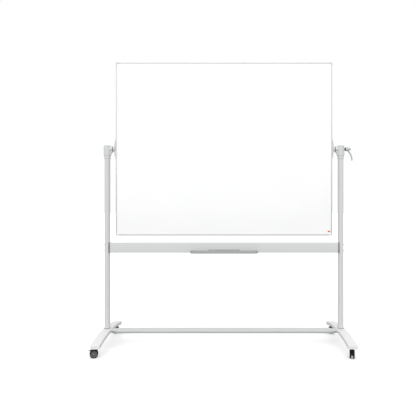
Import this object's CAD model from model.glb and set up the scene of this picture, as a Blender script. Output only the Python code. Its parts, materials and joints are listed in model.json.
"""Rolling whiteboard: its looks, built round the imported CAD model.

Shapes are made in millimetres and turned into metres when a piece is made.
+X is to the right, -Y is the front and +Z is up, as in the CAD model."""

import json
import math

import bmesh
import bpy
from mathutils import Matrix, Vector

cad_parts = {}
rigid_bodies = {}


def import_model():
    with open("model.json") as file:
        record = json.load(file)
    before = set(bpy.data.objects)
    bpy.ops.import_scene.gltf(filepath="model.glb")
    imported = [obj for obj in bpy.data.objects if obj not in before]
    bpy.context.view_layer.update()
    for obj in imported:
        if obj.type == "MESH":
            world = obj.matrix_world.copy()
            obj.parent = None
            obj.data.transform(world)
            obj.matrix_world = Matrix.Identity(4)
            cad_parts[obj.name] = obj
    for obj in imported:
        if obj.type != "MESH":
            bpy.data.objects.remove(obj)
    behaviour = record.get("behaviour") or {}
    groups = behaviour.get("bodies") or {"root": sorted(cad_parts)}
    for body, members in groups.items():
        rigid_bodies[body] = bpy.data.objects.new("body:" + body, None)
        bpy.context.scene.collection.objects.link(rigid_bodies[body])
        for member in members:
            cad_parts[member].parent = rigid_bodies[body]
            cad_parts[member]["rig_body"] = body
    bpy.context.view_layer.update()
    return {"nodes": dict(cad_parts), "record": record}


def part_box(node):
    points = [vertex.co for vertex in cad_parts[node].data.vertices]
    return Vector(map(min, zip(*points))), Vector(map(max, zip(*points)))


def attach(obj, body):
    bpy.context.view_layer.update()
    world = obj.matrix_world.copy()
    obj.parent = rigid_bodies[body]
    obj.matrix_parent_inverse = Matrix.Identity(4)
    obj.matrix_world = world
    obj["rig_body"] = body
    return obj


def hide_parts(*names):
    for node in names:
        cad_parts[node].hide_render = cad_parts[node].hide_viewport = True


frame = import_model()

MM = 0.001
SLOTS = {row["node"]: row["material_slot"] for row in frame["record"]["subparts"]}
NAMES = ("front_left", "front_right", "rear_left", "rear_right")


def low(node):
    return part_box(node)[0] / MM


def high(node):
    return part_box(node)[1] / MM


def middle(node):
    return (low(node) + high(node)) / 2


# ---------- places, read from the frame ----------

EDGE_X = high("frame_right").x
BOARD_TOP = high("frame_top").z
FRAME_Y = high("frame_top").y
PIVOT_Z = middle("pivot_shaft_right").z
POST_X = middle("post_right").x
POST_R = high("post_right").x - POST_X
BOSS_END = high("pivot_plate_right").x
WASHER_END = high("friction_washers").x
BARREL_START = low("pivot_head_right").x
BARREL_END = high("pivot_head_right").x
SLEEVE_TOP = low("head_caps").z
CAP_TOP = high("head_caps").z
HEAD_LOW = low("pivot_head_right").z
RAIL_LOW, RAIL_HIGH = low("upper_rail"), high("upper_rail")
BAR_Z = middle("lower_bar").z
FOOT_TOP = high("foot_right").z
WHEEL_R = middle("wheel_front_right_a").z

# ---------- sizes that the frame's boxes don't give ----------

FRAME_FACE, FRAME_WALL = 8, 1.4
PLATE_SCREWS_Z = (PIVOT_Z - 50, PIVOT_Z + 50)
SET_SCREW_Z = PIVOT_Z - 30
RAIL_BOLT_STEP, TRAY_SCREW_STEP = 20, 80
CAP_BOLT_X, COUPLING_BOLT_X = POST_X - 60, POST_X - 45

# ---------- shapes: a shape is a list of points and a list of faces ----------

TO_X = Matrix.Rotation(math.pi / 2, 4, "Y")
TO_FRONT = Matrix.Rotation(math.pi / 2, 4, "X")


def turn(count):
    return [2 * math.pi * k / count for k in range(count)]


def rounded(corners, steps=5):
    """A closed outline through corners (u, v, radius)."""
    points = []
    for i, (u, v, r) in enumerate(corners):
        p = Vector((u, v))
        a = (Vector(corners[i - 1][:2]) - p).normalized()
        b = (Vector(corners[(i + 1) % len(corners)][:2]) - p).normalized()
        half = a.angle(b) / 2
        centre = p + (a + b).normalized() * (r / math.sin(half))
        first = p + a * (r / math.tan(half)) - centre
        last = p + b * (r / math.tan(half)) - centre
        start = math.atan2(first.y, first.x)
        swing = (math.atan2(last.y, last.x) - start + math.pi) % (2 * math.pi) - math.pi
        for k in range(steps + 1):
            t = start + swing * k / steps
            points.append((centre.x + r * math.cos(t), centre.y + r * math.sin(t)))
    return points


def box_outline(wide, tall, r, steps=5):
    u, v = wide / 2, tall / 2
    return rounded([(-u, -v, r), (u, -v, r), (u, v, r), (-u, v, r)], steps)


def oval(wide, tall, steps=12):
    """A flat oval: straight long sides and round ends."""
    r, straight = tall / 2, (wide - tall) / 2
    points = []
    for side in (1, -1):
        for k in range(steps + 1):
            t = math.pi * (k / steps - 0.5)
            points.append((side * (straight + r * math.cos(t)), side * r * math.sin(t)))
    return points


def loft(rings, loop=False):
    """A closed shell through rings of points. Its ends are flat unless it loops."""
    n, count = len(rings[0]), len(rings)
    faces = []
    for i in range(count if loop else count - 1):
        a, b = i * n, (i + 1) % count * n
        faces += [(a + k, a + (k + 1) % n, b + (k + 1) % n, b + k) for k in range(n)]
    if not loop:
        faces += [tuple(range(n - 1, -1, -1)), tuple(range((count - 1) * n, count * n))]
    return [Vector(p) for ring in rings for p in ring], faces


def hexagon(t):
    return 1 / math.cos((t + math.pi / 6) % (math.pi / 3) - math.pi / 6)


def cross(t):
    t = (t + math.pi / 4) % (math.pi / 2) - math.pi / 4
    return min(1, 0.3 / max(abs(math.sin(t)), 0.01))


def lathe(profile, loop=False, count=64):
    """A turned shape about Z. Each row is (radius, height), and may add a function that shapes the radius."""
    rings = []
    for r, h, *shaped in profile:
        factor = shaped[0] if shaped else lambda t: 1
        rings.append([(r * factor(t) * math.cos(t), r * factor(t) * math.sin(t), h) for t in turn(count)])
    return loft(rings, loop)


def prism(outline, a, b):
    return loft([[(u, v, h) for u, v in outline] for h in (a, b)])


def tube(outer, inner, a, b):
    rows = ((outer, a), (outer, b), (inner, b), (inner, a))
    return loft([[(u, v, h) for u, v in ring] for ring, h in rows], loop=True)


def rod(r, a, b, edge=0.4, count=64):
    return lathe([(0, a), (r - edge, a), (r, a + edge), (r, b - edge), (r - edge, b), (0, b)], count=count)


def block(lo, hi):
    return prism([(lo[0], lo[1]), (hi[0], lo[1]), (hi[0], hi[1]), (lo[0], hi[1])], lo[2], hi[2])


def put(shape, matrix):
    return [matrix @ p for p in shape[0]], shape[1]


def move(shape, x=0, y=0, z=0):
    return put(shape, Matrix.Translation((x, y, z)))


def mirrored(shape, axis=0):
    flip = Vector((1, 1, 1))
    flip[axis] = -1
    return [p * flip for p in shape[0]], [tuple(reversed(f)) for f in shape[1]]


def joined(*shapes):
    points, faces = [], []
    for shape in shapes:
        start = len(points)
        points += shape[0]
        faces += [tuple(start + i for i in f) for f in shape[1]]
    return points, faces


def both(shape):
    return joined(shape, mirrored(shape))


def cleaned(mesh, shape, scale):
    """Fills a mesh with a shape: points that meet become one, and the faces look outward."""
    mesh.from_pydata([p * scale for p in shape[0]], [], shape[1])
    bm = bmesh.new()
    bm.from_mesh(mesh)
    bmesh.ops.remove_doubles(bm, verts=bm.verts, dist=scale * 0.001)
    bmesh.ops.recalc_face_normals(bm, faces=bm.faces)
    bm.to_mesh(mesh)
    bm.free()


def worked(shape, add=(), cut=(), voxel=0, smooth=0, bevel=0):
    """The shape after modifiers: other shapes added or cut away, then cast with soft edges or bevelled."""
    helpers = []
    for part in (shape, *add, *cut):
        mesh = bpy.data.meshes.new("working")
        cleaned(mesh, part, 1)
        helpers.append(bpy.data.objects.new("working", mesh))
        bpy.context.scene.collection.objects.link(helpers[-1])
    body = helpers[0]
    for i, other in enumerate(helpers[1:]):
        m = body.modifiers.new("boolean", "BOOLEAN")
        m.operation = "UNION" if i < len(add) else "DIFFERENCE"
        m.solver = "EXACT"
        m.object = other
    if voxel:
        m = body.modifiers.new("cast", "REMESH")
        m.mode = "VOXEL"
        m.voxel_size = voxel
    if smooth:
        m = body.modifiers.new("soft", "SMOOTH")
        m.iterations = smooth
    if bevel:
        m = body.modifiers.new("edges", "BEVEL")
        m.width = bevel
        m.segments = 3
        m.limit_method = "ANGLE"
        m.angle_limit = math.radians(35)
    bpy.context.view_layer.update()
    mesh = body.evaluated_get(bpy.context.evaluated_depsgraph_get()).to_mesh()
    made = [v.co.copy() for v in mesh.vertices], [tuple(p.vertices) for p in mesh.polygons]
    for helper in helpers:
        data = helper.data
        bpy.data.objects.remove(helper)
        bpy.data.meshes.remove(data)
    return made


# ---------- materials ----------


class Finish:
    """A procedural material. Patterns are in the piece's own space, so they move with it."""

    def __init__(self, name, colour, roughness, metallic=0, **shader):
        self.made = bpy.data.materials.new(name)
        self.made.use_nodes = True
        self.tree = self.made.node_tree
        self.shader = self.tree.nodes["Principled BSDF"]
        self.colour = (*colour, 1)
        self.roughness = roughness
        self.set("Metallic", metallic)
        self.set("Base Color", self.colour)
        self.set("Roughness", roughness)
        for socket, value in shader.items():
            self.set(socket.replace("_", " "), value)
        self.coordinates = self.node("ShaderNodeTexCoord").outputs["Object"]
        self.last_colour = None
        self.last_bump = None

    def set(self, socket, value):
        self.shader.inputs[socket].default_value = value

    def node(self, kind, links=(), **settings):
        made = self.tree.nodes.new(kind)
        for key, value in settings.items():
            setattr(made, key, value)
        for socket, value in dict(links).items():
            if isinstance(value, bpy.types.NodeSocket):
                self.tree.links.new(value, made.inputs[socket])
            else:
                made.inputs[socket].default_value = value
        return made

    def pattern(self, size, stretch=(1, 1, 1), detail=4, kind="noise", distortion=0):
        """A grey pattern whose features are about size millimetres, longer along the stretched axes."""
        shares = [1 / s for s in stretch]
        place = self.node("ShaderNodeMapping", {"Vector": self.coordinates, "Scale": shares})
        scale = 1 / (size * MM)
        if kind == "cells":
            made = self.node("ShaderNodeTexVoronoi", {"Vector": place.outputs[0], "Scale": scale})
            return made.outputs["Distance"]
        made = self.node(
            "ShaderNodeTexNoise",
            {"Vector": place.outputs[0], "Scale": scale, "Detail": detail, "Distortion": distortion},
        )
        return made.outputs[0]

    def ramp(self, value, start, end, low_value=0.0, high_value=1.0):
        made = self.node(
            "ShaderNodeMapRange",
            {"Value": value, "From Min": start, "From Max": end, "To Min": low_value, "To Max": high_value},
            interpolation_type="SMOOTHSTEP",
        )
        return made.outputs[0]

    def tint(self, share, colour):
        """Mixes colour over what is there, by share."""
        under = self.last_colour or self.colour
        mix = self.node("ShaderNodeMix", data_type="RGBA")
        self.tree.links.new(share, mix.inputs[0])
        if isinstance(under, bpy.types.NodeSocket):
            self.tree.links.new(under, mix.inputs[6])
        else:
            mix.inputs[6].default_value = under
        mix.inputs[7].default_value = (*colour, 1)
        self.last_colour = mix.outputs[2]
        self.tree.links.new(self.last_colour, self.shader.inputs["Base Color"])
        return self

    def mottle(self, size, amount, **pattern):
        """Light and dark variation of the base colour, by amount."""
        value = self.pattern(size, **pattern)
        darker = [c * (1 - amount) for c in self.colour[:3]]
        lighter = [min(1, c * (1 + amount)) for c in self.colour[:3]]
        self.tint(self.ramp(value, 0.55, 0.25), darker)
        return self.tint(self.ramp(value, 0.5, 0.8), lighter)

    def gloss(self, size, spread, **pattern):
        value = self.pattern(size, **pattern)
        rough = self.ramp(value, 0.3, 0.7, self.roughness - spread, self.roughness + spread)
        self.tree.links.new(rough, self.shader.inputs["Roughness"])
        return self

    def bump(self, size, depth, strength=1, **pattern):
        """Relief whose height is depth millimetres."""
        links = {"Height": self.pattern(size, **pattern), "Strength": strength, "Distance": depth * MM}
        if self.last_bump:
            links["Normal"] = self.last_bump
        self.last_bump = self.node("ShaderNodeBump", links).outputs[0]
        self.tree.links.new(self.last_bump, self.shader.inputs["Normal"])
        return self

    def worn(self, colour, share=0.4):
        """Edges rubbed towards colour, unevenly."""
        edge = self.node("ShaderNodeNewGeometry").outputs["Pointiness"]
        edge = self.ramp(edge, 0.53, 0.62, 0, share)
        patches = self.ramp(self.pattern(6), 0.4, 0.65)
        both_of = self.node("ShaderNodeMath", {0: edge, 1: patches}, operation="MULTIPLY")
        return self.tint(both_of.outputs[0], colour)

    def scuffed(self, colour, size, share, start=0.62, **pattern):
        """Sparse marks of colour."""
        return self.tint(self.ramp(self.pattern(size, **pattern), start, start + 0.12, 0, share), colour)


def powder_coat(name, colour, roughness, peel=0.03, edges=True):
    made = Finish(name, colour, roughness, Specular_IOR_Level=0.42)
    made.mottle(70, 0.015).mottle(0.5, 0.03, detail=2).gloss(9, 0.05)
    made.bump(1.6, peel, detail=2).bump(0.35, peel * 0.3, detail=1)
    if edges:
        made.worn([min(1, c * 1.12) for c in colour], 0.35)
    return made.made


def moulded(name, colour, roughness, grain=0.02, cell=0.45, shine=0.4):
    made = Finish(name, colour, roughness, Specular_IOR_Level=shine)
    made.mottle(14, 0.05).gloss(5, 0.07)
    made.bump(cell, grain, kind="cells").bump(4, grain * 0.5)
    made.worn([min(1, c * 1.5 + 0.02) for c in colour], 0.3)
    return made.made


def plated(name, colour, roughness):
    made = Finish(name, colour, roughness, metallic=1)
    made.mottle(2.5, 0.06, kind="cells").mottle(0.6, 0.05).gloss(1.2, 0.08)
    made.bump(0.4, 0.006)
    made.scuffed([c * 0.6 for c in colour], 4, 0.4)
    return made.made


def extruded(name, colour, stretch):
    """Satin aluminium with fine draw lines along stretch."""
    made = Finish(name, colour, 0.36, metallic=0.85)
    made.mottle(0.35, 0.03, stretch=stretch, detail=2).gloss(0.5, 0.06, stretch=stretch)
    made.bump(0.25, 0.004, stretch=stretch).mottle(120, 0.012)
    return made.made


def enamel():
    made = Finish(
        "enamel", (0.86, 0.864, 0.864), 0.2, Specular_IOR_Level=0.5, Coat_Weight=0.25, Coat_Roughness=0.08
    )
    made.mottle(260, 0.012).mottle(40, 0.004)
    made.gloss(90, 0.05, stretch=(3, 1, 1)).bump(0.8, 0.003, detail=1).bump(30, 0.02)
    made.scuffed((0.8, 0.81, 0.82), 60, 0.12, start=0.66, stretch=(4, 1, 1), distortion=0.6)
    return made.made


def fibre():
    made = Finish("friction_fibre", (0.17, 0.18, 0.18), 0.82)
    made.mottle(0.7, 0.3, stretch=(1, 3, 1)).bump(0.4, 0.04)
    made.scuffed((0.42, 0.4, 0.34), 0.9, 0.5)
    return made.made


def board_core():
    made = Finish("core_board", (0.52, 0.4, 0.26), 0.8)
    made.mottle(1.2, 0.16, stretch=(3, 1, 2)).bump(0.6, 0.05)
    return made.made


def tread():
    made = Finish("tyre_black", (0.016, 0.016, 0.017), 0.6, Specular_IOR_Level=0.2)
    made.mottle(8, 0.12).gloss(3, 0.1).bump(0.3, 0.01)
    made.scuffed((0.07, 0.068, 0.065), 3, 0.3, start=0.6)
    return made.made


def badge_lacquer():
    made = Finish("badge_orange", (0.82, 0.1, 0.004), 0.32, Coat_Weight=0.4, Coat_Roughness=0.1)
    made.mottle(0.12, 0.08, detail=1).mottle(5, 0.03).bump(1.5, 0.004)
    return made.made


MATERIALS = {
    "core_board": board_core(),
    "enamel": enamel(),
    "anodised": extruded("anodised_across", (0.475, 0.483, 0.487), (60, 1, 1)),
    "anodised_upright": extruded("anodised_upright", (0.475, 0.483, 0.487), (1, 1, 60)),
    "corner_plastic": moulded("corner_plastic", (0.57, 0.58, 0.59), 0.5),
    "cap_plastic": moulded("cap_plastic", (0.8, 0.805, 0.81), 0.42),
    "badge_orange": badge_lacquer(),
    "cast_grey": powder_coat("cast_grey", (0.6, 0.612, 0.617), 0.4, 0.05),
    "zinc_steel": plated("zinc_steel", (0.55, 0.56, 0.57), 0.3),
    "friction_fibre": fibre(),
    "bush_plastic": moulded("bush_plastic", (0.75, 0.73, 0.64), 0.45),
    "lever_metal": powder_coat("lever_metal", (0.5, 0.51, 0.515), 0.36, 0.04),
    "black_steel": plated("black_steel", (0.06, 0.06, 0.065), 0.38),
    "post_paint": powder_coat("post_paint", (0.602, 0.612, 0.612), 0.38, edges=False),
    "tray_paint": powder_coat("tray_paint", (0.34, 0.348, 0.354), 0.38, edges=False),
    "base_paint": powder_coat("base_paint", (0.7, 0.706, 0.704), 0.36, edges=False),
    "bar_paint": powder_coat("bar_paint", (0.52, 0.528, 0.53), 0.36, edges=False),
    "dark_plastic": moulded("dark_plastic", (0.05, 0.05, 0.055), 0.5),
    "saddle_plastic": moulded("saddle_plastic", (0.2, 0.208, 0.212), 0.55),
    "caster_black": moulded("caster_black", (0.006, 0.006, 0.007), 0.45, shine=0.15),
    "wheel_grey": moulded("wheel_grey", (0.1, 0.102, 0.106), 0.5, shine=0.3),
    "tyre_black": tread(),
}

# ---------- pieces ----------


def piece(name, shape, *nodes, finish=None, smooth=38):
    """Makes a piece that stands for those CAD nodes, on their body and with their material slot."""
    mesh = bpy.data.meshes.new(name)
    cleaned(mesh, shape, MM)
    mesh.shade_smooth()
    mesh.set_sharp_from_angle(angle=math.radians(smooth))
    made = bpy.data.objects.new(name, mesh)
    bpy.context.scene.collection.objects.link(made)
    slot = SLOTS[nodes[0]]
    mesh.materials.append(MATERIALS[finish or slot])
    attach(made, frame["nodes"][nodes[0]]["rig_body"])
    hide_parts(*nodes)
    return made


# ----- board -----


def writing_sheet(node, side):
    """A sheet whose outer face is very slightly wavy, as thin steel on a board is."""
    lo, hi = low(node), high(node)
    across, up, dip = 60, 48, 0.22
    outer, inner = (lo.y, hi.y) if side < 0 else (hi.y, lo.y)
    points = []
    for y, wavy in ((outer, 1), (inner, 0)):
        for j in range(up + 1):
            for i in range(across + 1):
                u, v = i / across, j / up
                rim = min(1, 14 * min(u, 1 - u, v, 1 - v))
                wave = 0.5 + 0.25 * math.sin(7.1 * u + 2.3 * v + side) + 0.25 * math.sin(5.3 * v - 3.7 * u)
                x, z = lo.x + (hi.x - lo.x) * u, lo.z + (hi.z - lo.z) * v
                points.append(Vector((x, y - side * wavy * dip * rim * wave, z)))
    row, half = across + 1, (across + 1) * (up + 1)
    faces = []
    for j in range(up):
        for i in range(across):
            a = j * row + i
            faces.append((a, a + 1, a + row + 1, a + row))
            faces.append((half + a, half + a + row, half + a + row + 1, half + a + 1))
    rim_points = [*range(row), *range(2 * row - 1, half, row)]
    rim_points += [*range(half - 2, half - row - 1, -1), *range(half - 2 * row, 0, -row)]
    for k, a in enumerate(rim_points):
        b = rim_points[(k + 1) % len(rim_points)]
        faces.append((a, half + a, half + b, b))
    piece(node.replace("sheet", "writing_face"), (points, faces), node)


def frame_outline():
    """Channel with soft edges and a fine groove on both faces: u is outward, v goes through the board."""
    y, face, wall, groove = FRAME_Y, FRAME_FACE, FRAME_WALL, 0.25
    side = [(0, y, 0.9), (-5.9, y, 0.1), (-6.15, y - groove, 0.1), (-6.4, y, 0.1)]
    side += [(-face, y, 0.3), (-face, y - 1, 0.15), (-wall, y - 1, 0.2)]
    return rounded(side + [(u, -v, r) for u, v, r in reversed(side)], 4)


def frame_pieces():
    outline = frame_outline()
    half_w, half_h = high("frame_top").x, high("frame_right").z - PIVOT_Z
    across = [(h, v, u) for h in (-half_w, half_w) for u, v in outline]
    upright = [(u, v, h) for h in (-half_h, half_h) for u, v in outline]
    faces = prism(outline, 0, 1)[1]
    bar = [Vector(p) for p in across], faces
    side = [Vector(p) for p in upright], faces
    half_board = BOARD_TOP - PIVOT_Z
    piece("frame_bar_top", move(bar, z=BOARD_TOP), "frame_top")
    piece("frame_bar_bottom", move(mirrored(bar, 2), z=PIVOT_Z - half_board), "frame_bottom")
    side_right = move(side, EDGE_X, 0, PIVOT_Z)
    piece("frame_side_right", side_right, "frame_right", finish="anodised_upright")
    side_left = move(mirrored(side), -EDGE_X, 0, PIVOT_Z)
    piece("frame_side_left", side_left, "frame_left", finish="anodised_upright")


def corner_pieces():
    leg, face, wall, y = 22, FRAME_FACE, FRAME_WALL, FRAME_Y
    outline = rounded([
        (0, 0, 4), (0, -leg, 0.5), (-face, -leg, 0.5),
        (-face, -face, 1.5), (-leg, -face, 0.5), (-leg, 0, 0.5),
    ])
    solid = put(prism(outline, -y, y), TO_FRONT)
    slot = block((-wall - 40, -y + 1, -wall - 40), (-wall, y - 1, -wall))
    one = worked(solid, cut=[slot], bevel=0.45)
    one = move(one, EDGE_X, 0, BOARD_TOP - PIVOT_Z)
    right = joined(one, mirrored(one, 2))
    piece("corner_pieces", move(both(right), z=PIVOT_Z), "frame_corners")


def badge():
    """A plain plate with a raised rim."""
    lo, hi, at, flange = low("badge"), high("badge"), middle("badge"), 1.5
    soft, sunk = lo.y + 0.12, lo.y + 0.09
    rings = []
    for inset, y in ((0, hi.y), (0, soft), (0.15, lo.y), (0.75, lo.y), (0.9, soft), (2, sunk)):
        grow = 2 * (flange - inset)
        outline = box_outline(hi.x - lo.x + grow, hi.z - lo.z + grow, 2.1 - inset)
        rings.append([(at.x + u, y, at.z + v) for u, v in outline])
    piece("badge_plate", loft(rings), "badge")


def pivot_plates():
    """Bowed casting with a round boss, fixed by two countersunk screws."""
    tall, bow, y = high("pivot_plate_right").z - PIVOT_Z, 13.5, FRAME_Y
    radius = (tall ** 2 + bow ** 2) / (2 * bow)
    rings = []
    for k in range(41):
        s = -tall + 2 * tall * k / 40
        x = EDGE_X + bow - radius + math.sqrt(radius ** 2 - s ** 2)
        deep = max(x - EDGE_X, 0.6)
        section = box_outline(deep, 2 * y, min(1.8, deep * 0.45))
        rings.append([(EDGE_X + deep / 2 + u, v, s) for u, v in section])
    end = BOSS_END - EDGE_X
    boss = lathe([(0, 8), (17, 8), (19, 10), (19, end - 1.2), (17.8, end), (0, end)])
    boss = move(put(boss, TO_X), EDGE_X)
    root = move(put(lathe([(0, 4), (24, 4), (19.5, 12), (18, 14), (0, 14)]), TO_X), EDGE_X)
    behind = block((EDGE_X, y, -40), (EDGE_X + 40, 60, 40))
    before = block((EDGE_X, -60, -40), (EDGE_X + 40, -y, 40))
    root = worked(root, cut=[behind, before])
    cuts = [move(put(rod(4.1, 4.5, 30, 0), TO_X), EDGE_X, 0, z - PIVOT_Z) for z in PLATE_SCREWS_Z]
    cuts.append(move(put(rod(6, -1, 40, 0), TO_X), EDGE_X))
    plate = worked(loft(rings), add=[boss, root], voxel=0.7, smooth=6)
    plate = worked(plate, cut=cuts)
    plate = move(plate, z=PIVOT_Z)
    piece("hinge_plate_right", plate, "pivot_plate_right", smooth=50)
    piece("hinge_plate_left", mirrored(plate), "pivot_plate_left", smooth=50)


def screw(head_r, head, shank_r, length, socket=hexagon, size=0.5, dome=0.25):
    """A screw along Z with its head above zero. size is the socket's, as a share of the head."""
    s, side = head_r * size, head * (1 - dome)
    return lathe([
        (0, -length), (shank_r - 0.4, -length), (shank_r, -length + 0.4), (shank_r, -0.01),
        (head_r - 0.15, 0), (head_r, 0.2), (head_r, side - 0.2), (head_r - 0.35, side),
        (head_r * 0.8, head * (1 - dome * 0.3)), (s * 1.25, head), (s, head, socket),
        (s * 0.97, head * 0.45, socket), (0, head * 0.4),
    ])


def plate_screws():
    lo_x, hi_x = EDGE_X - 17, high("plate_screws").x
    one = lathe([
        (0, lo_x), (1.7, lo_x), (2.1, lo_x + 1), (2.1, hi_x - 2), (3.75, hi_x - 0.5), (3.8, hi_x - 0.25),
        (3.5, hi_x), (2.3, hi_x), (2.1, hi_x, cross), (1.6, hi_x - 1.2, cross), (0, hi_x - 1.4),
    ])
    one = put(one, TO_X)
    piece("plate_fixings", both(joined(*[move(one, z=z) for z in PLATE_SCREWS_Z])), "plate_screws")


def washers():
    a, b = BOSS_END, WASHER_END
    ring = lathe([
        (6.1, a), (16.7, a), (17, a + 0.3), (17, a + 1.9), (16.5, a + 2.1),
        (16.5, b - 2.1), (17, b - 1.9), (17, b - 0.3), (16.7, b), (6.1, b),
    ], loop=True)
    piece("washers", both(move(put(ring, TO_X), z=PIVOT_Z)), "friction_washers")


# ----- heads of the posts -----


def pivot_heads():
    """Casting with a sleeve for the post, a barrel towards the board and a curved web below it."""
    low_z, ring_z = HEAD_LOW, HEAD_LOW + 20
    sleeve = move(rod(24, ring_z, SLEEVE_TOP, 1.2), POST_X)
    ring = move(rod(21.5, low_z, ring_z + 2, 1), POST_X)
    barrel = move(put(rod(19, BARREL_START, POST_X, 1.2), TO_X), z=PIVOT_Z)
    outer = move(put(rod(12, POST_X, BARREL_END - 0.5, 1), TO_X), z=PIVOT_Z)
    set_boss = move(put(rod(8, POST_X, BARREL_END, 1), TO_X), z=SET_SCREW_Z)
    fillet_x, fillet_z = POST_X - 46, PIVOT_Z - 41
    web_low, web_high = fillet_z - 7, PIVOT_Z - 8
    corner = [(BARREL_START, web_low), (POST_X, web_low), (POST_X, web_high), (BARREL_START, web_high)]
    web = put(prism(corner, -11, 11), TO_FRONT)
    hollow = move(put(rod(22, -30, 30, 0, 96), TO_FRONT), fillet_x, 0, fillet_z)
    under = block((BARREL_START - 5, -20, fillet_z - 20), (fillet_x + 22, 20, fillet_z))
    web = worked(web, cut=[hollow, under])
    solid = worked(joined(sleeve, ring, barrel, outer, set_boss, web), voxel=0.7, smooth=5)
    bores = [
        move(rod(POST_R + 0.05, low_z - 5, PIVOT_Z - 24.8, 0, 96), POST_X),
        move(put(rod(9, BARREL_START - 5, BARREL_END + 5, 0), TO_X), z=PIVOT_Z),
        move(put(rod(3.1, POST_X, BARREL_END + 5, 0), TO_X), z=SET_SCREW_Z),
    ]
    recess = move(put(rod(11, BARREL_END - 9.5, BARREL_END + 5, 0), TO_X), z=PIVOT_Z)
    piece("head_casting_right", worked(solid, cut=bores), "pivot_head_right", smooth=50)
    piece("head_casting_left", mirrored(worked(solid, cut=bores + [recess])), "pivot_head_left", smooth=50)


def head_caps():
    """Low domed caps with a shadow line where they meet the castings."""
    tall = CAP_TOP - SLEEVE_TOP
    rows = [(0, 0), (22.6, 0), (23, 0.5), (23.9, 0.8), (24, 1.2), (24, 1.8)]
    arc = [math.radians(a) for a in range(10, 91, 10)]
    rows += [(20 + 4 * math.cos(a), 1.8 + (tall - 2.1) * math.sin(a)) for a in arc]
    rows += [(14, tall - 0.15), (7, tall - 0.03), (0, tall)]
    piece("cap_domes", both(move(lathe(rows), POST_X, 0, SLEEVE_TOP)), "head_caps")


def head_screws():
    one = move(put(screw(5, 2, 3, 6, size=0.55), TO_X), high("head_set_screws").x - 2, 0, SET_SCREW_Z)
    piece("grub_screws", both(one), "head_set_screws")


def bore_plug():
    x = BARREL_END - 0.5
    rows = [(0, x - 3), (10.6, x - 3), (10.9, x - 2.6), (10.9, x - 0.7), (10.4, x - 0.2)]
    rows += [(9.2, x), (8.6, x - 0.5), (5, x - 0.35), (0, x - 0.3)]
    piece("bore_cover_left", mirrored(move(put(lathe(rows), TO_X), z=PIVOT_Z)), "bore_plug_left")


# ----- clamp lever -----


def clamp_insert():
    """Dark cone with pressed serrations, its stud and its splined nose."""
    def ridged(t):
        return 1 + 0.035 * math.cos(24 * t)

    x0, x1 = POST_X + 25.3, POST_X + 32
    rows = [(0, POST_X + 4), (3.6, POST_X + 4), (4, POST_X + 4.6), (4, x0), (5.8, x0), (6.2, x0 + 0.3)]
    rows += [(6.2 + 6.6 * k / 6, x0 + 0.4 + (x1 - x0 - 0.9) * k / 6, ridged) for k in range(7)]
    rows += [(12.7, x1 - 0.3), (12.2, x1), (7, x1), (7, x1 + 13.6), (6.6, x1 + 14)]
    rows += [(2.5, x1 + 14), (2.5, x1 - 2), (0, x1 - 2)]
    shape = put(lathe(rows, count=144), TO_X)
    piece("lever_cone", move(shape, z=PIVOT_Z), "clamp_insert")


def clamp_handle():
    """Cast hub with a curved arm that ends in a soft tip."""
    start = POST_X + 32.3
    end = POST_X + 61
    rows = [(0, start), (13.2, start), (14, start + 0.8), (14, start + 3), (13.4, start + 3.6)]
    rows += [(13.4, start + 4.4), (14, start + 5), (14, start + 15), (13.7, start + 17)]
    rows += [(11.6, end - 1), (10.6, end), (0, end)]
    hub = move(put(lathe(rows), TO_X), z=PIVOT_Z)
    radius, centre, sweep = 88.5, (POST_X - 10, PIVOT_Z - 75), 54
    stations = [(math.radians(sweep - sweep * k / 30), 0) for k in range(31)]
    stations += [(0, 4.4 * math.sin(math.radians(a))) for a in range(15, 91, 15)]
    rings = []
    for angle, beyond in stations:
        share = angle / math.radians(sweep)
        shrink = math.sqrt(max(0.0004, 1 - (beyond / 4.5) ** 2))
        wide = (9 + 2.5 * share ** 3) * shrink
        deep = 13 + 3 * share ** 3 - 4.4 * (1 - shrink)
        ring = []
        for u, v in oval(deep, min(wide, deep - 0.1), 10):
            r = radius + v
            x = centre[0] + r * math.cos(angle)
            z = centre[1] + r * math.sin(angle) - beyond
            ring.append((x, u, z))
        rings.append(ring)
    solid = worked(joined(hub, loft(rings)), voxel=0.55, smooth=5)
    cuts = [
        move(put(rod(7.3, start - 2, POST_X + 46, 0), TO_X), z=PIVOT_Z),
        move(put(rod(3.2, start, POST_X + 80, 0), TO_X), z=PIVOT_Z),
        move(put(rod(7.3, POST_X + 47.5, POST_X + 80, 0), TO_X), z=PIVOT_Z),
    ]
    piece("lever_handle", worked(solid, cut=cuts), "clamp_handle", smooth=50)


def clamp_button():
    x = POST_X + 70
    rows = [(0, x - 34), (2.5, x - 34), (2.5, x - 10), (6.6, x - 10), (7, x - 9.6), (7, x - 1.8)]
    rows += [(6.5, x - 0.7), (5.2, x), (3.9, x), (3.2, x, hexagon), (3.1, x - 4, hexagon), (0, x - 4.6)]
    piece("lever_end_screw", move(put(lathe(rows, count=72), TO_X), z=PIVOT_Z), "clamp_button")


# ----- stand -----


def posts():
    a, b, r, inner = low("post_right").z, high("post_right").z, POST_R, POST_R - 1.8
    rows = [(inner, a + 0.3), (inner + 0.3, a), (r - 0.4, a), (r, a + 0.4)]
    rows += [(r, b - 0.4), (r - 0.4, b), (inner + 0.3, b), (inner, b - 0.3)]
    tube_right = move(lathe(rows, loop=True, count=96), POST_X)
    piece("post_tube_right", tube_right, "post_right")
    piece("post_tube_left", mirrored(tube_right), "post_left")


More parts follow.
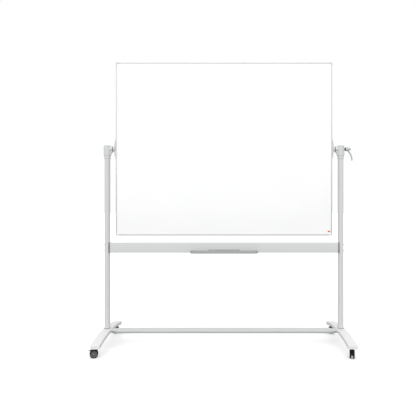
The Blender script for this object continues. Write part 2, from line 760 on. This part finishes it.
def post_saddles():
    """Shoes with a rounded shoulder, a plug inside the post and a bore for the bolt."""
    rows = [(0, 98), (21.9, 98), (22, 109), (21.7, 111.8), (20.9, 113.4), (19.6, 114), (17, 114)]
    rows += [(17, 120), (16.4, 121), (4.1, 121), (4.1, 110), (0, 110)]
    piece("post_shoes", both(move(lathe(rows, count=96), POST_X)), "post_saddles")


def upper_rail():
    deep, tall = RAIL_HIGH.y - RAIL_LOW.y, RAIL_HIGH.z - RAIL_LOW.z
    outer, inner = box_outline(tall, deep, 2.6, 6), box_outline(tall - 3, deep - 3, 1.1, 6)
    shape = put(tube(outer, inner, RAIL_LOW.x, RAIL_HIGH.x), TO_X)
    piece("rail_tube", move(shape, z=(RAIL_LOW.z + RAIL_HIGH.z) / 2), "upper_rail")


def rail_saddles():
    """Gasket that fits the flat end of the rail to the round post."""
    lo, hi = low("rail_saddles"), high("rail_saddles")
    x0, x1, r, deep, bore = RAIL_HIGH.x, hi.x, POST_R + 2, 13.5, POST_R + 0.05

    def arc(radius, a, b, steps=10):
        angles = [a + (b - a) * k / steps for k in range(steps + 1)]
        return [(POST_X + radius * math.cos(t), radius * math.sin(t)) for t in angles]

    meet, tip = math.pi - math.asin(deep / r), math.pi - math.acos((POST_X - x1) / r)
    inner_tip = math.pi - math.acos((POST_X - x1) / bore)
    outline = [(x0, -deep), *arc(r, -meet, -tip), *arc(bore, -inner_tip, inner_tip - 2 * math.pi, 24)]
    outline += [*arc(r, tip, meet), (x0, deep)]
    solid = worked(prism(outline, lo.z, hi.z), bevel=0.5)
    piece("rail_gaskets", both(solid), "rail_saddles")


def pen_tray():
    """Shallow tray, rounded in front, with soft edges and a taller plate against the rail."""
    lo, hi = low("pen_tray"), high("pen_tray")
    back, front, half = RAIL_LOW.y, lo.y, hi.x
    wall, lip, corner, plate_half = 2, 15, 25, 108
    rows = [(2.2, 0), (1, 0.25), (0.3, 0.9), (0, 2), (0, lip - 0.8), (0.25, lip - 0.2), (0.8, lip)]
    rows += [(1.3, lip), (wall - 0.2, lip - 0.2), (wall, lip - 0.8), (wall, wall + 3)]
    rows += [(wall + 0.4, wall + 1.4), (wall + 1.4, wall + 0.4), (wall + 3, wall)]
    rings = []
    for inset, z in rows:
        side, bend = half - inset, corner - inset
        outline = rounded([
            (-side, front + inset, bend), (side, front + inset, bend),
            (side, back - inset, 1), (-side, back - inset, 1),
        ], 16)
        rings.append([(x, y, z + lo.z) for x, y in outline])
    tall = hi.z - lo.z
    plate = rounded([
        (-plate_half, 1, 0.5), (plate_half, 1, 0.5), (plate_half, tall, 3), (-plate_half, tall, 3),
    ], 5)
    plate = move(put(prism(plate, -0.95, 0.95), TO_FRONT), 0, back - 0.97, lo.z)
    piece("tray_shell", worked(loft(rings), add=[plate]), "pen_tray")


def tray_screws():
    at = high("tray_screws").z - 4
    one = put(screw(4, 2, 2, 6, socket=cross, size=0.5, dome=0.45), TO_FRONT)
    shapes = [move(one, x, RAIL_LOW.y - 2, at) for x in (-TRAY_SCREW_STEP, 0, TRAY_SCREW_STEP)]
    piece("tray_fixings", joined(*shapes), "tray_screws")


def stand_bolts():
    """Low painted heads on the posts, dark ones at the feet, and round caps on the couplings."""
    under = move(mirrored(screw(6.5, 4, 4, 50), 2), POST_X, 0, low("stand_bolts").z + 4)
    outward = put(screw(6, 2.2, 4, 50, dome=0.5), TO_X)
    mid = (RAIL_LOW.z + RAIL_HIGH.z) / 2
    side = [move(outward, POST_X + POST_R, 0, mid + z) for z in (-RAIL_BOLT_STEP, RAIL_BOLT_STEP)]
    bar = move(put(screw(5.5, 4, 4, 50), TO_X), POST_X - 23.9, 0, BAR_Z)
    clamp = move(put(screw(3, 2, 2.6, 6, size=0.55), TO_FRONT), COUPLING_BOLT_X, -27, BAR_Z)
    cap = lathe([
        (0, 21), (3, 21), (3, 26), (7.6, 26), (8, 26.4), (8, 28.9),
        (7.8, 29.5), (7.2, 30), (5.6, 30), (5.2, 29.4), (0, 29.4),
    ])
    cap = move(put(cap, TO_FRONT), CAP_BOLT_X, 0, BAR_Z)
    piece("bolts", both(joined(under, bar, clamp)), "stand_bolts")
    piece("cap_bolts", both(cap), "stand_bolts", finish="bar_paint")
    piece("post_bolts", both(joined(*side)), "stand_bolts", finish="post_paint")


# ----- base -----

FOOT_REACH, FOOT_DROP, FOOT_WIDE, FOOT_THICK, FOOT_CORNER = 300, 28, 60, 26, 6
FOOT_R = (FOOT_REACH ** 2 + FOOT_DROP ** 2) / (2 * FOOT_DROP)
FOOT_AXIS_Z = FOOT_TOP - FOOT_R
FOOT_ANGLE = math.asin(FOOT_REACH / FOOT_R)


def foot_ring(less, angle):
    """The foot's section, shrunk by less and moved round the long arc."""
    mid = FOOT_R - FOOT_THICK / 2
    section = box_outline(FOOT_WIDE - less, FOOT_THICK - less, FOOT_CORNER - less / 2, 7)
    y, z = math.sin(angle), math.cos(angle)
    return [(POST_X + u, y * (mid + v), FOOT_AXIS_Z + z * (mid + v)) for u, v in section]


def feet():
    angles = [FOOT_ANGLE * (k / 24 - 1) for k in range(49)]
    rings = [foot_ring(0, a) for a in angles]
    rings += [foot_ring(4, a) for a in reversed(angles)]
    right = loft(rings, loop=True)
    piece("foot_tube_right", right, "foot_right")
    piece("foot_tube_left", mirrored(right), "foot_left")


def foot_caps():
    """Plugs with a pillowed face."""
    rows = [(-9.5, 4.8), (-8.5, 4.4), (0, 4.4), (0.05, 0.7), (0.5, 0.6), (0.6, 0), (1.7, 0)]
    rows += [(2.3, 0.5), (2.75, 1.6), (2.95, 4), (3, 9)]
    rings = [foot_ring(less, FOOT_ANGLE + along / FOOT_R) for along, less in rows]
    back = loft(rings)
    piece("foot_plugs", both(joined(back, mirrored(back, 1))), "foot_end_caps", finish="cap_plastic")


def lower_bar():
    a, b = low("lower_bar").x, high("lower_bar").x
    outer, inner = [[(v, u) for u, v in oval(60 - less, 30 - less, 16)] for less in (0, 3)]
    shape = put(tube(outer, inner, a, b), TO_X)
    piece("bar_tube", move(shape, z=BAR_Z), "lower_bar", finish="bar_paint")


def couplings():
    """End pieces that narrow from the bar and flare again into the foot."""
    start, end = high("lower_bar").x, high("bar_couplings").x
    rows = [(start - 34, 56.4, 26.4), (start - 0.1, 56.4, 26.4), (start, 59, 29), (start + 1.2, 59, 29)]
    rows += [(start + 2, 57.5, 27.5), (start + 4, 54, 24), (start + 8, 52, 22), (end - 10, 52, 22)]
    rows += [(end - 4, 53, 22.6), (end, 55, 24), (end + 2, 56, 25)]
    rings = [[(x, u, BAR_Z + v) for u, v in oval(wide, thick, 14)] for x, wide, thick in rows]
    bores = [move(put(rod(3.2, 20, 40, 0), TO_FRONT), x, 0, BAR_Z) for x in (CAP_BOLT_X, COUPLING_BOLT_X)]
    piece("bar_ends", both(worked(loft(rings), cut=bores)), "bar_couplings", finish="bar_paint")


# ----- casters, built round the stem at the origin and trailing along +X -----

TRAIL, AXLE_R, WEB, SPIGOT_TOP = 12, 3, 5, 69
FENDER_IN, FENDER_OUT, FENDER_HALF = 25.6, 27.2, 15.8
PEDAL_ANGLE, PEDAL_R = math.radians(50), 29.9
AXLE_AT = Matrix.Translation((TRAIL, 0, WHEEL_R))
PEDAL_AT = AXLE_AT @ Matrix.Translation((PEDAL_R * math.cos(PEDAL_ANGLE), 0, PEDAL_R * math.sin(PEDAL_ANGLE)))
DIRECTIONS = {"front_left": -164, "front_right": -106, "rear_left": 180, "rear_right": -90}


def caster_place(corner):
    y = abs(middle("caster_stems").y) + (high("caster_stems").y - low("caster_stems").y) / 2 - 9
    at = (POST_X if "right" in corner else -POST_X, -y if "front" in corner else y, 0)
    return Matrix.Translation(at) @ Matrix.Rotation(math.radians(DIRECTIONS[corner]), 4, "Z")


def around_axle(angle, radius, y):
    return (radius * math.cos(angle), y, radius * math.sin(angle))


def hood(braked):
    """Fender over both wheels, a web between them and the swivel neck."""
    rings = []
    for k in range(61):
        angle = math.radians(18 + 146 * k / 60)
        end = min(k, 60 - k)
        trim = 1.2 if end == 0 else 0.4 if end == 1 else 0
        section = []
        half = FENDER_HALF - trim
        for radius, y in rounded([
            (FENDER_IN, -half, 0.3), (FENDER_OUT - 0.25, -half, 0.6), (FENDER_OUT, -11, 2),
            (FENDER_OUT, 11, 2), (FENDER_OUT - 0.25, half, 0.6), (FENDER_IN, half, 0.3),
        ], 4):
            section.append(around_axle(angle, radius, y))
        rings.append(section)
    band = loft(rings)
    disc = put(rod(FENDER_IN + 0.8, -WEB, WEB, 0.3, 96), TO_FRONT)
    disc = worked(disc, cut=[block((-40, -20, -60), (40, 20, -4))])
    hub = put(rod(11, -WEB, WEB, 0.3), TO_FRONT)
    neck = move(rod(8.5, 14, 28.3, 0.5), -TRAIL)
    neck = worked(neck, cut=[put(rod(FENDER_IN + 0.3, -20, 20, 0, 96), TO_FRONT)])
    flare = move(lathe([(0, 20), (12.5, 20), (11, 23), (9.4, 25.4), (8.5, 27), (0, 27)]), -TRAIL)
    flare = worked(flare, cut=[put(rod(FENDER_IN + 0.3, -20, 20, 0, 96), TO_FRONT)])
    parts = [band, disc, hub, neck, flare]
    if braked:
        x, z = PEDAL_R * math.cos(PEDAL_ANGLE), PEDAL_R * math.sin(PEDAL_ANGLE)
        inner = FENDER_IN + 0.6
        for y in (-8.6, 8.6):
            ear = []
            for k in range(13):
                t = PEDAL_ANGLE - math.pi / 2 + math.pi * k / 12
                ear.append((x + 2.8 * math.cos(t), z + 2.8 * math.sin(t)))
            for spread in (9, -9):
                t = PEDAL_ANGLE + math.radians(spread)
                ear.append((inner * math.cos(t), inner * math.sin(t)))
            parts.append(put(prism(ear, -y - 1, -y + 1), TO_FRONT))
    solid = worked(joined(*parts), voxel=0.5, smooth=3)
    cuts = [
        put(rod(AXLE_R, -30, 30, 0, 48), TO_FRONT),
        move(rod(3.6, 7.6, 40, 0, 48), -TRAIL),
    ]
    if braked:
        cuts.append(move(put(rod(1.3, -20, 20, 0, 32), TO_FRONT), x, 0, z))
    return put(worked(solid, cut=cuts), AXLE_AT)


def wheel_hub():
    """Dished hub with six pockets, under the tyre's rim."""
    inner, outer = WEB + 0.3, FENDER_HALF - 0.2
    disc, bore = outer - 3.2, AXLE_R + 0.05
    rows = [(bore, inner), (6.6, inner), (7, inner + 0.4), (7, disc - 0.5), (7.5, disc), (19, disc)]
    rows += [(19.5, disc - 0.5), (19.5, inner + 0.8), (19.7, inner + 0.6), (20.5, inner + 0.6)]
    rows += [(20.5, outer - 0.5), (20.1, outer - 0.1)]
    rows += [(18.6, outer - 0.1), (17, outer), (16.2, outer - 0.3), (15.6, outer - 1)]
    plain = len(rows)
    rows += [(14.4, outer - 1), (13.9, outer - 2.4), (13.3, outer - 2.6)]
    rows += [(8.3, outer - 2.6), (7.8, outer - 2.4), (7.2, outer - 1)]
    pocketed = len(rows)
    rows += [(6.2, outer - 0.9), (5.4, outer - 0.6), (4.2, outer - 0.6), (4, outer - 1), (bore, outer - 1)]
    rings = []
    for i, (radius, h) in enumerate(rows):
        ring = []
        for t in turn(96):
            share = min(1, max(0, 2.4 * math.cos(6 * t) + 1.5))
            depth = outer - 1 + (h - outer + 1) * share if plain <= i < pocketed else h
            ring.append((radius * math.cos(t), radius * math.sin(t), depth))
        rings.append(ring)
    return loft(rings, loop=True)


def tyre():
    """Soft tyre with round shoulders and a fine mould line."""
    inner, outer, r, bend = WEB + 0.6, FENDER_HALF - 0.2, WHEEL_R, 1.8
    mid, turned = (inner + outer) / 2, (0.4, 0.8, 1.2, math.pi / 2)
    rows = [(20.55, inner + 0.3), (20.9, inner), (r - bend, inner)]
    rows += [(r - bend + bend * math.sin(t), inner + bend - bend * math.cos(t)) for t in turned]
    rows += [(r, mid - 0.5), (r - 0.15, mid), (r, mid + 0.5)]
    rows += [(r - bend + bend * math.cos(t), outer - bend + bend * math.sin(t)) for t in (0, *turned)]
    rows += [(20.9, outer), (20.55, outer - 0.3)]
    return lathe(rows, loop=True, count=96)


def brake_pedal():
    """Ribbed tab on a barrel that turns on its pin."""
    barrel = put(rod(2.1, -7.3, 7.3, 0.3, 40), TO_FRONT)
    pin = put(rod(1.2, -9.5, 9.5, 0.2, 32), TO_FRONT)
    tab = prism(box_outline(12.5, 13.6, 1.6), -1.1, 0.8)
    tab = move(tab, 6.25)
    ribs = [move(put(rod(0.55, -5.6, 5.6, 0.2, 20), TO_FRONT), x, 0, 0.75) for x in (5, 7.2, 9.4, 11.2)]
    tilted = put(joined(tab, *ribs), Matrix.Rotation(-math.radians(12), 4, "Y"))
    solid = worked(joined(barrel, tilted), voxel=0.3, smooth=2)
    return put(joined(solid, pin), PEDAL_AT)


def axle():
    half = FENDER_HALF - 0.5
    rows = [(0, -half), (1.8, -half + 0.05), (2.6, -half + 0.35), (3, -half + 0.8)]
    rows += [(3, half - 0.8), (2.6, half - 0.35), (1.8, half - 0.05), (0, half)]
    return put(lathe(rows, count=40), AXLE_AT @ TO_FRONT)


def caster_stems():
    """Steel stems: a collar with a fine shoulder, a pin below it and a spigot in the foot."""
    top = high("caster_hood_front_left").z + 0.3
    rows = [(0, 33), (3.1, 33), (3.5, 33.4), (3.5, top - 0.3), (4.2, top), (8.5, top), (9, top + 0.5)]
    rows += [(9, top + 2.2), (8.7, top + 2.5), (8.7, top + 3.1), (9, top + 3.4), (9, top + 9)]
    rows += [(5, top + 9.5), (5, SPIGOT_TOP), (0, SPIGOT_TOP)]
    one = lathe(rows)
    shapes = [put(one, caster_place(corner)) for corner in NAMES]
    piece("stems", joined(*shapes), "caster_stems")


def casters():
    hoods = {True: hood(True), False: hood(False)}
    hub_shape, tyre_shape, pedal_shape, axle_shape = wheel_hub(), tyre(), brake_pedal(), axle()
    for corner in NAMES:
        place = caster_place(corner)
        braked = corner.startswith("front")
        piece(f"hood_{corner}", put(hoods[braked], place), f"caster_hood_{corner}", smooth=50)
        piece(f"axle_pin_{corner}", put(axle_shape, place), f"axle_{corner}")
        for letter, side in (("a", 1), ("b", -1)):
            matrix = place @ AXLE_AT @ Matrix.Rotation(side * math.pi / 2, 4, "X")
            wheel = f"wheel_{corner}_{letter}"
            piece(f"hub_{corner}_{letter}", put(hub_shape, matrix), wheel)
            piece(f"tyre_{corner}_{letter}", put(tyre_shape, matrix), wheel, finish="tyre_black")
        if braked:
            piece(f"pedal_{corner}", put(pedal_shape, place), f"brake_pedal_{corner}", smooth=50)


writing_sheet("front_sheet", -1)
writing_sheet("rear_sheet", 1)
frame_pieces()
corner_pieces()
badge()
pivot_plates()
plate_screws()
washers()
pivot_heads()
head_caps()
head_screws()
bore_plug()
clamp_insert()
clamp_handle()
clamp_button()
posts()
post_saddles()
upper_rail()
rail_saddles()
pen_tray()
tray_screws()
stand_bolts()
feet()
foot_caps()
lower_bar()
couplings()
caster_stems()
casters()

for node, made in frame["nodes"].items():
    if not made.hide_render:
        made.data.materials.clear()
        made.data.materials.append(MATERIALS[SLOTS[node]])

# ---------- studio ----------


def studio():
    """White surroundings, a pale floor and one very soft light from above and in front."""
    world = bpy.data.worlds.new("studio")
    bpy.context.scene.world = world
    world.use_nodes = True
    sky = world.node_tree.nodes["Background"]
    sky.inputs["Color"].default_value = (1, 1, 1, 1)
    sky.inputs["Strength"].default_value = 1.0
    reach = 80
    corners = [(-reach, -reach, 0), (reach, -reach, 0), (reach, reach, 0), (-reach, reach, 0)]
    mesh = bpy.data.meshes.new("floor")
    mesh.from_pydata(corners, [], [(0, 1, 2, 3)])
    floor = bpy.data.objects.new("floor", mesh)
    bpy.context.scene.collection.objects.link(floor)
    ground = bpy.data.materials.new("pale_floor")
    ground.use_nodes = True
    tree = ground.node_tree
    tree.nodes.clear()
    seen, lit = tree.nodes.new("ShaderNodeBsdfDiffuse"), tree.nodes.new("ShaderNodeBsdfDiffuse")
    seen.inputs["Color"].default_value = (0.92, 0.92, 0.92, 1)
    lit.inputs["Color"].default_value = (0.42, 0.42, 0.42, 1)
    glow, lifted = tree.nodes.new("ShaderNodeEmission"), tree.nodes.new("ShaderNodeAddShader")
    glow.inputs["Strength"].default_value = 0.14
    path, mix = tree.nodes.new("ShaderNodeLightPath"), tree.nodes.new("ShaderNodeMixShader")
    out = tree.nodes.new("ShaderNodeOutputMaterial")
    tree.links.new(seen.outputs[0], lifted.inputs[0])
    tree.links.new(glow.outputs[0], lifted.inputs[1])
    tree.links.new(path.outputs["Is Camera Ray"], mix.inputs[0])
    tree.links.new(lit.outputs[0], mix.inputs[1])
    tree.links.new(lifted.outputs[0], mix.inputs[2])
    tree.links.new(mix.outputs[0], out.inputs[0])
    mesh.materials.append(ground)
    light = bpy.data.lights.new("soft_sun", "SUN")
    light.energy, light.angle = 1.3, math.radians(70)
    lamp = bpy.data.objects.new("soft_sun", light)
    lamp.rotation_mode = "QUATERNION"
    lamp.rotation_quaternion = Vector((0.15, 1.15, -0.7)).to_track_quat("-Z", "Y")
    bpy.context.scene.collection.objects.link(lamp)


def camera():
    """Level camera in front, shifted so that the object stands a little right of the picture's middle."""
    data = bpy.data.cameras.new("camera")
    data.sensor_width, data.lens, data.shift_x = 36, 38.35, -0.0385
    made = bpy.data.objects.new("camera", data)
    made.location = (0, -3.08, 0.946)
    made.rotation_euler = (math.pi / 2, 0, 0)
    bpy.context.scene.collection.objects.link(made)
    bpy.context.scene.camera = made


studio()
camera()
bpy.context.scene.view_settings.view_transform = "Standard"
